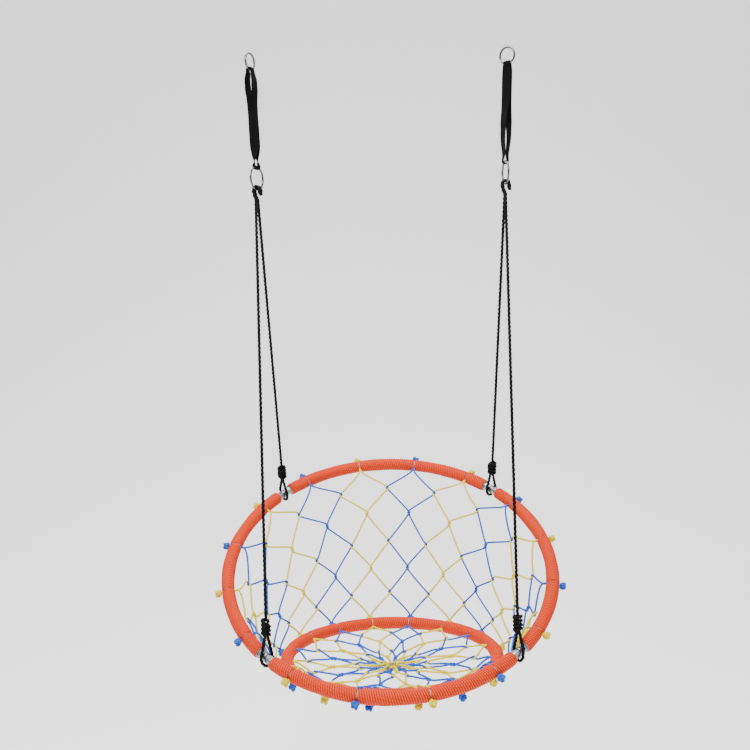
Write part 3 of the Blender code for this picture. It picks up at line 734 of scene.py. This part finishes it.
def make_tube_arc(name, node, body, place, radius, start, end, pipe=TUBE_RADIUS, steps=None):
    """A bent steel tube: a circle of pipe swept round the ring's axis, given a wall, edges eased."""
    fresh()
    span = end - start
    steps = steps or int(span * 1.2)
    bpy.ops.mesh.primitive_circle_add(vertices=32, radius=pipe, location=(0.0, radius, 0.0),
                                      rotation=(0.0, pi / 2.0, 0.0))
    item = bpy.context.object
    bpy.ops.object.transform_apply(location=True, rotation=True, scale=True)
    item.data.transform(Matrix.Rotation(radians(start), 4, "Z"))
    sweep = item.modifiers.new("sweep", "SCREW")
    sweep.axis = "Z"
    sweep.angle = radians(span)
    sweep.steps = sweep.render_steps = steps
    sweep.use_normal_calculate = True
    wall = item.modifiers.new("wall", "SOLIDIFY")
    wall.thickness = TUBE_WALL
    wall.offset = -1.0
    ease = item.modifiers.new("ease", "BEVEL")
    ease.width = 0.0004
    ease.segments = 2
    ease.limit_method = "ANGLE"
    ease.angle_limit = radians(60)
    apply_all(item)
    item.data.shade_smooth()
    item.data.set_sharp_from_angle(angle=radians(50))
    settle(item, name, TUBE_STEEL, place)
    hand_over(item, body, node)


def make_screw(corner):
    """Pan-head screw with a cross recess."""
    fresh()
    bpy.ops.mesh.primitive_cylinder_add(vertices=32, radius=0.0046, depth=0.0026,
                                        location=(0.0, 0.0, 0.0013))
    item = bpy.context.object
    crown = item.modifiers.new("crown", "BEVEL")
    crown.width = 0.0014
    crown.segments = 4
    crown.limit_method = "ANGLE"
    for angle in (0.0, pi / 2.0):
        bpy.ops.mesh.primitive_cube_add(size=1.0, location=(0.0, 0.0, 0.0024),
                                        rotation=(0.0, 0.0, angle))
        blade = bpy.context.object
        blade.scale = (0.0052, 0.0011, 0.0022)
        cut = item.modifiers.new("recess", "BOOLEAN")
        cut.operation = "DIFFERENCE"
        cut.object = blade
    apply_all(item)
    for tool in [o for o in bpy.data.objects if o.name.startswith("Cube")]:
        bpy.data.objects.remove(tool, do_unlink=True)
    seat = ring_direction(JOINTS[corner] + SCREW_ANGLE) * FRAME_RADIUS
    place = (FRAME_PLACE @ Matrix.Translation(seat + UP * (TUBE_RADIUS + 0.0001))
             @ Matrix.Rotation(0.7 * CORNERS.index(corner), 4, "Z"))
    item.data.shade_smooth()
    item.data.set_sharp_from_angle(angle=radians(40))
    settle(item, "joint_screw_" + corner, SCREW_STEEL, place)
    hand_over(item, "basket", "frame_screw_" + corner)


for side, sign in (("left", -1.0), ("right", 1.0)):
    make_ring("hang_ring_" + side, Vector((sign * HANG_X, 0.0, RING_WIRE - HANG_RING_RADIUS)),
              HANG_RING_RADIUS, HANG_TURN[side], "hooks")
    make_ring("link_ring_" + side, Vector((sign * LINK_X, 0.0, LINK_RING_Z)), LINK_RING_RADIUS,
              LINK_TURN[side], "straps")
for side, start in FRAME_SIDES.items():
    make_tube_arc("big_ring_tube_" + side, "frame_tube_" + side, "basket", FRAME_PLACE, FRAME_RADIUS,
                  start + FRAME_BUTT, start + 90.0 - FRAME_BUTT)
for corner, angle in JOINTS.items():
    make_screw(corner)
    make_tube_arc("joint_spigot_" + corner, "frame_joiner_" + corner, "basket", FRAME_PLACE,
                  FRAME_RADIUS, angle - FRAME_SPIGOT, angle + FRAME_SPIGOT, SPIGOT_RADIUS, 8)
for side, start in SEAT_SIDES.items():
    make_tube_arc("seat_ring_tube_" + side, "seat_tube_" + side, "seat", SEAT_PLACE, SEAT_RADIUS,
                  start + SEAT_BUTT, start + 180.0 - SEAT_BUTT, steps=120)
for side, angle in SEAT_JOINTS.items():
    make_tube_arc("seat_spigot_" + side, "seat_joiner_" + side, "seat", SEAT_PLACE, SEAT_RADIUS,
                  angle - SEAT_SPIGOT, angle + SEAT_SPIGOT, SPIGOT_RADIUS, 10)

# ---------------------------------------------------------------- padded covers

RIB_PITCH = 0.0065                # spacing of the sleeve's ribs along the ring
RIB_SLANT = 5                     # ribs that one line round the sleeve crosses
BEADS = 13                        # stitches round the sleeve on each rib
RIB_HEIGHT = 0.0018
SEAM_WIDTH = 0.0019               # half the gap in the padding where a cord goes through
SEAM_DEPTH = 0.0044
SEAM_DRAW, SEAM_SPREAD = 0.0011, 0.008        # how far the padding is drawn in beside a cord
END_DRAW, END_SPREAD = 0.0022, 0.0035         # and at its ends
FOAM_BORE = 0.0129
BORE_ROWS = 60
COVER_STEP, COVER_SIDES = 0.0013, 66
COVER_GIRTH = 11.9                # centimetres round the sleeve


def column_angles(start, end):
    angles = [FIRST_COLUMN + COLUMN_STEP * i for i in range(-COLUMNS, COLUMNS)]
    return [angle for angle in angles if start < angle < end]


def braid(run, around):
    """Height of the slanted ribs, 0 to 1, each one broken into stitches."""
    rib = run / RIB_PITCH + around * RIB_SLANT
    stitch = around * BEADS + 0.5 * np.floor(rib) - 0.35 * rib
    return np.abs(np.sin(rib * pi)) ** 0.8 * (0.62 + 0.38 * np.abs(np.sin(stitch * pi)) ** 0.6)


def make_cover(name, node, body, place, radius, start, end, phase):
    """Foam pipe in a braided sleeve, nipped in where each cord goes through and cut square at its
    ends."""
    total = radians(end - start) * radius
    seams = [radians(angle - start) * radius for angle in column_angles(start, end)]
    run = [np.linspace(0.0, total, int(total / COVER_STEP))]
    for seam in seams:
        run.append(seam + np.array([-2.4, -1.5, -1.0, -0.6, -0.25, 0.25, 0.6, 1.0, 1.5, 2.4]) * SEAM_WIDTH)
    run = np.unique(np.clip(np.concatenate(run), 0.0, total))
    run = run[np.concatenate([[True], np.diff(run) > 0.00025])]
    run[-1] = total
    around = np.arange(COVER_SIDES + 1) / COVER_SIDES
    angle = radians(start) + run / radius
    out = np.stack([-np.sin(angle), np.cos(angle), np.zeros_like(angle)], axis=1)
    middle = out * radius
    up = np.array([0.0, 0.0, 1.0])
    nip = np.zeros_like(run)
    swell = np.zeros_like(run)
    for seam in seams:
        off = np.abs(run - seam)
        nip = np.maximum(nip, np.clip(1.0 - (off / SEAM_WIDTH) ** 3, 0.0, 1.0))
        swell -= SEAM_DRAW * np.exp(-(off / SEAM_SPREAD) ** 2)
    for edge in (0.0, total):
        swell -= END_DRAW * np.exp(-(np.abs(run - edge) / END_SPREAD) ** 2)
    wander = 0.0004 * np.sin(run / 0.045 + phase) + 0.0003 * np.sin(run / 0.019 + 2.0 * phase)
    weave = braid(run[:, None] + phase * 0.01, around[None, :])
    fade = (1.0 - nip)[:, None]
    reach = COVER_RADIUS - RIB_HEIGHT * 0.6 + wander[:, None] + swell[:, None] + RIB_HEIGHT * weave * fade
    reach = reach - SEAM_DEPTH * nip[:, None]
    turn = around * 2 * pi
    rows = (middle[:, None] + reach[..., None] * (np.cos(turn)[None, :, None] * out[:, None]
                                                  + np.sin(turn)[None, :, None] * up))
    # the bore runs back inside, so that the pipe is one closed skin
    back = np.linspace(angle[-1], angle[0], BORE_ROWS)
    bore_out = np.stack([-np.sin(back), np.cos(back), np.zeros_like(back)], axis=1)
    bore = (bore_out[:, None] * radius
            + FOAM_BORE * (np.cos(turn)[None, :, None] * bore_out[:, None]
                           + np.sin(turn)[None, :, None] * up))
    rows = np.concatenate([rows, 0.5 * (rows[-1:] + bore[:1]), bore, 0.5 * (rows[:1] + bore[-1:])])
    # rib height, which the sleeve material turns into painted shade between the ribs; the bore counts as
    # crest
    relief = np.concatenate([weave * fade, np.ones((BORE_ROWS + 2, COVER_SIDES + 1))])
    foam = np.concatenate([nip ** 2, np.ones(BORE_ROWS + 2)])
    length = np.concatenate([run * 100.0, total * 100.0 + 0.4 + np.arange(BORE_ROWS + 2) * 0.4])
    uv = np.stack(np.broadcast_arrays(length[:, None], around[None, :] * COVER_GIRTH), axis=2)
    made = Mesh()
    made.grid(rows[:, :-1], uv, relief, True)
    piece = made.build(name, SLEEVE)
    values = np.repeat(foam, COVER_SIDES)
    mark = piece.data.attributes.new("foam", "FLOAT", "POINT")
    mark.data.foreach_set("value", values.astype(np.float32))
    piece.data.transform(place)
    repair(piece)
    hand_over(piece, body, node)


for index, (side, start) in enumerate(FRAME_SIDES.items()):
    make_cover("padded_sleeve_" + side, "frame_cover_" + side, "basket", FRAME_PLACE, FRAME_RADIUS,
               start + BARE_HALF_ANGLE, start + 90.0 - BARE_HALF_ANGLE, 0.8 * index)
for index, (side, start) in enumerate(SEAT_SIDES.items()):
    make_cover("seat_sleeve_" + side, "seat_cover_" + side, "seat", SEAT_PLACE, SEAT_RADIUS,
               start + SEAT_BUTT, start + 180.0 - SEAT_BUTT, 3.0 + 1.1 * index)

# ---------------------------------------------------------------- net

CORD_LAY, CORD_SIDES, CORD_STEP = 0.024, 9, 0.0026
CORD_LOOK = 0.0034                # over the crests of the cord's strands
TWIST_RUN = 0.017                 # length over which a column's two cords are turned round each other
HOOK = 0.0034                     # how far each of two hooked cords reaches past the line between them


def seat_stem_direction(angle):
    forward = (1.0 - cos(radians(angle))) / 2.0
    dip = radians(-12.0 + 60.0 * forward)
    return ring_direction(angle) * cos(dip) - Vector((0.0, 0.0, sin(dip)))


def seat_knot(angle):
    out = seat_stem_direction(angle)
    return SEAT_CENTRE + ring_direction(angle) * SEAT_RADIUS + out * (COVER_RADIUS + KNOT + 0.001)


def wall_point(angle, share, drawn):
    """A point of the net wall, between the inside of the big ring and the seat ring's knots."""
    eased = angle - DRAWN_BACK * drawn * sin(radians(angle))
    top = FRAME_PLACE @ (ring_direction(eased) * (FRAME_RADIUS - COVER_RADIUS - TOP_RUN))
    forward = (1.0 - cos(radians(eased))) / 2.0
    bottom = seat_knot(eased) + Vector((0.0, 0.0, FOOT_UP))
    bottom += ring_direction(eased) * (FOOT_OUT - (FOOT_OUT - FRONT_FOOT_OUT) * forward)
    droop = FRONT_DROOP * forward ** 2 * sin(pi * share)
    return top.lerp(bottom, share) - Vector((0.0, 0.0, droop))


def wall_level(angle, level):
    share, extra, drawn = WALL_LEVELS[level]
    lean = cos(radians(angle))
    return share + extra * (1.0 - lean if lean > 0.0 else 1.0 + 0.8 * lean), drawn


def hooked(spot, side, out, down, hand):
    """Where a cord goes round its neighbour's: past the line between them, in front then behind."""
    return [spot - side * 0.004 - down * 0.0075 + out * 0.0026 * hand,
            spot + side * 0.0006 - down * 0.0042 + out * 0.0031 * hand,
            spot + side * HOOK,
            spot + side * 0.0006 + down * 0.0042 - out * 0.0031 * hand,
            spot - side * 0.004 + down * 0.0075 - out * 0.0026 * hand]


def turned_pair(spot, side, out, down, run=TWIST_RUN):
    """One of two cords that make a full turn round each other; side says which."""
    points = []
    for step in range(9):
        share = step / 8.0
        around = 2 * pi * share
        points.append(spot + side * PAIR * cos(around) + out * PAIR * sin(around)
                      + down * run * (share - 0.5))
    return points


def stopper_knot(made, middle, axis, size=1.0):
    """A tight overhand knot in doubled cord: a trefoil, its axis along the cord."""
    turn = axis.to_track_quat("Z", "Y").to_matrix()
    points = []
    for step in range(24):
        t = 2 * pi * step / 24
        flat = Vector((sin(t) + 2.0 * sin(2 * t), cos(t) - 2.0 * cos(2 * t), -2.1 * sin(3 * t)))
        points.append(tuple(middle + turn @ (flat * 0.0026 * size)))
    path, _ = smooth_path(points, KNOT_STEP, closed=True)
    made.cord(path, CORD * 1.75 * size, sides=12, lay=CORD_LAY * 1.3, groove=0.8, closed=True)


def make_wall_column(number, angle, material):
    """One column of the wall: stopper knot outside the big ring, doubled cord through it, diamonds,
    and down to its knot at the seat ring."""
    out_of_ring = (FRAME_PLACE.to_3x3() @ ring_direction(angle)).normalized()
    ring = FRAME_PLACE @ (ring_direction(angle) * FRAME_RADIUS)
    knot = ring + out_of_ring * (COVER_RADIUS + KNOT * 0.9)
    top = wall_point(angle, 0.0, 0.0)
    bottom = wall_point(angle, 1.0, 0.0)
    foot = seat_knot(angle)
    length = (top - bottom).length
    down = (bottom - top).normalized()
    crossing_levels, tie_levels = (0, 2, 4), (1, 3)
    for limit, fewer_crossings, fewer_ties in DIAMOND_ROOM:
        if length < limit:
            crossing_levels, tie_levels = fewer_crossings, fewer_ties
    hand = 1.0 if number % 2 else -1.0
    made = Mesh()
    for turn in (-1.0, 1.0):
        side = ring_tangent(angle) * turn
        out = ring_direction(angle)
        seam = angle + turn * COLUMN_STEP / 2.0
        points = [knot + side * PAIR * 0.6, ring + side * PAIR, top - out_of_ring * 0.004 + side * PAIR]
        for index, level in enumerate(crossing_levels):
            spot = wall_point(seam, *wall_level(seam, level))
            points += hooked(spot, side, out, down, hand)
            if index < len(tie_levels):
                tie = wall_point(angle, *wall_level(angle, tie_levels[index]))
                points += turned_pair(tie, side, out * turn, down)
        if not crossing_levels:
            points += [top.lerp(bottom, 0.5) + side * 0.006 - UP * 0.004 * (1.0 + turn)]
        points += [bottom.lerp(foot, 0.45) + side * PAIR, foot + side * PAIR * 0.6]
        path, _ = smooth_path(as_tuples(points), CORD_STEP)
        made.cord(path, CORD_LOOK, lay=CORD_LAY, sides=CORD_SIDES, phase=0.9 * number + turn,
                  groove=0.8)
    stopper_knot(made, knot, out_of_ring)
    piece = made.build("wall_net_cord_%02d" % number, material)
    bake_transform(piece)
    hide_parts("wall_cord_%02d" % number)


def web_point(angle, distance, sag):
    return SEAT_CENTRE + ring_direction(angle) * distance - Vector((0.0, 0.0, sag))


GATHER_RING = 0.0190
GATHER_TURN = 0.0058              # radius of a column's turn round the gathering ring


def make_web(colour, numbers, angles, material):
    """Every second column of the seat web: doubled cords from their knots outside the seat ring to the
    gathering ring in the middle, which the first cord of each colour carries."""
    hub = SEAT_CENTRE - Vector((0.0, 0.0, WEB_CENTRE[colour]))
    for number, angle in zip(numbers, angles):
        made = Mesh()
        knot = seat_knot(angle)
        stem = seat_stem_direction(angle)
        ring = SEAT_CENTRE + ring_direction(angle) * SEAT_RADIUS
        top = ring - stem * (COVER_RADIUS + TOP_RUN)
        inward = -ring_direction(angle)
        hand = 1.0 if colour == "yellow" else -1.0
        halves = []
        for turn in (-1.0, 1.0):
            side = ring_tangent(angle) * turn
            points = [knot + side * PAIR * 0.6, ring + side * PAIR, top + stem * 0.004 + side * PAIR]
            seam = angle + turn * COLUMN_STEP / 2.0
            for index, (cross, tie) in enumerate(((0, 1), (2, 3))):
                points += hooked(web_point(seam, *WEB_LEVELS[cross]), side, UP, inward, hand)
                points += turned_pair(web_point(angle, *WEB_LEVELS[tie]), side, UP * turn, inward,
                                      TWIST_RUN if index == 0 else 0.013)
            gather = hub - inward * GATHER_RING
            level = UP * GATHER_TURN * turn
            start = web_point(angle, *WEB_LEVELS[3])
            points.append(start.lerp(gather, 0.55) + side * PAIR * 0.5 + level * 0.5)
            points.append(gather - inward * 0.004 + level)
            points.append(gather + level)
            points.append(gather + inward * GATHER_TURN * 0.75 + level * 0.62)
            halves.append(points)
        loop = halves[0] + [hub - inward * GATHER_RING + inward * GATHER_TURN] + halves[1][::-1]
        path, _ = smooth_path(as_tuples(loop), CORD_STEP)
        made.cord(path, CORD_LOOK, lay=CORD_LAY, sides=CORD_SIDES, phase=0.7 * number, groove=0.8)
        stopper_knot(made, knot, stem)
        if number == numbers[0]:
            ring_path = [tuple(hub + ring_direction(a) * GATHER_RING) for a in range(0, 360, 15)]
            circle, _ = smooth_path(ring_path, CORD_STEP, closed=True)
            made.cord(circle, CORD, lay=CORD_LAY, sides=CORD_SIDES, closed=True)
        piece = made.build("seat_net_cord_%02d" % number, material)
        hand_over(piece, "seat", "seat_web_" + colour)


def make_net():
    angles = [FIRST_COLUMN + COLUMN_STEP * i for i in range(COLUMNS)]
    for number, angle in enumerate(angles, 1):
        make_wall_column(number, angle, YELLOW if number % 2 else BLUE)
    make_web("yellow", range(1, COLUMNS + 1, 2), angles[0::2], YELLOW)
    make_web("blue", range(2, COLUMNS + 1, 2), angles[1::2], BLUE)


make_net()

# ---------------------------------------------------------------- floor and light


def make_studio():
    """Pale floor that sweeps up behind, and soft light from above, the front and both sides."""
    fresh()
    made = Finish("studio_floor", 0.9, Base_Color=(0.93, 0.93, 0.93, 1.0),
                  Emission_Color=(1.0, 1.0, 1.0, 1.0), Emission_Strength=0.55)
    bpy.ops.mesh.primitive_plane_add(size=40.0, location=(0.0, -14.0, -2.35))
    floor = bpy.context.object
    bpy.ops.object.transform_apply(location=True, rotation=True, scale=True)
    bpy.ops.object.mode_set(mode="EDIT")
    bpy.ops.mesh.select_mode(type="EDGE")
    bpy.ops.mesh.select_all(action="DESELECT")
    bpy.ops.object.mode_set(mode="OBJECT")
    for edge in floor.data.edges:
        edge.select = all(floor.data.vertices[v].co.y > 5.0 for v in edge.vertices)
    bpy.ops.object.mode_set(mode="EDIT")
    bpy.ops.mesh.extrude_region_move(TRANSFORM_OT_translate={"value": (0.0, 0.0, 16.0)})
    bpy.ops.object.mode_set(mode="OBJECT")
    curve = floor.modifiers.new("curve", "BEVEL")
    curve.width = 5.0
    curve.segments = 32
    curve.limit_method = "ANGLE"
    apply_all(floor)
    floor.data.shade_smooth()
    floor.name = "studio_floor"
    floor.data.materials.append(made.material)
    lights = (("key", (-1.4, -2.4, 2.0), 1.8, 230.0), ("fill", (2.6, -2.6, 0.6), 2.4, 50.0),
              ("top", (0.0, 0.2, 2.2), 2.4, 190.0))
    for name, place, size, power in lights:
        data = bpy.data.lights.new(name, "AREA")
        data.size, data.energy = size, power
        lamp = bpy.data.objects.new(name, data)
        bpy.context.scene.collection.objects.link(lamp)
        lamp.location = place
        lamp.rotation_euler = (Vector((0.0, 0.0, -1.3)) - Vector(place)).to_track_quat("-Z", "Y").to_euler()
    world = bpy.data.worlds.new("studio_air")
    bpy.context.scene.world = world
    world.use_nodes = True
    dial(world.node_tree.nodes["Background"], Color=(1.0, 1.0, 1.0, 1.0), Strength=0.50)


make_studio()
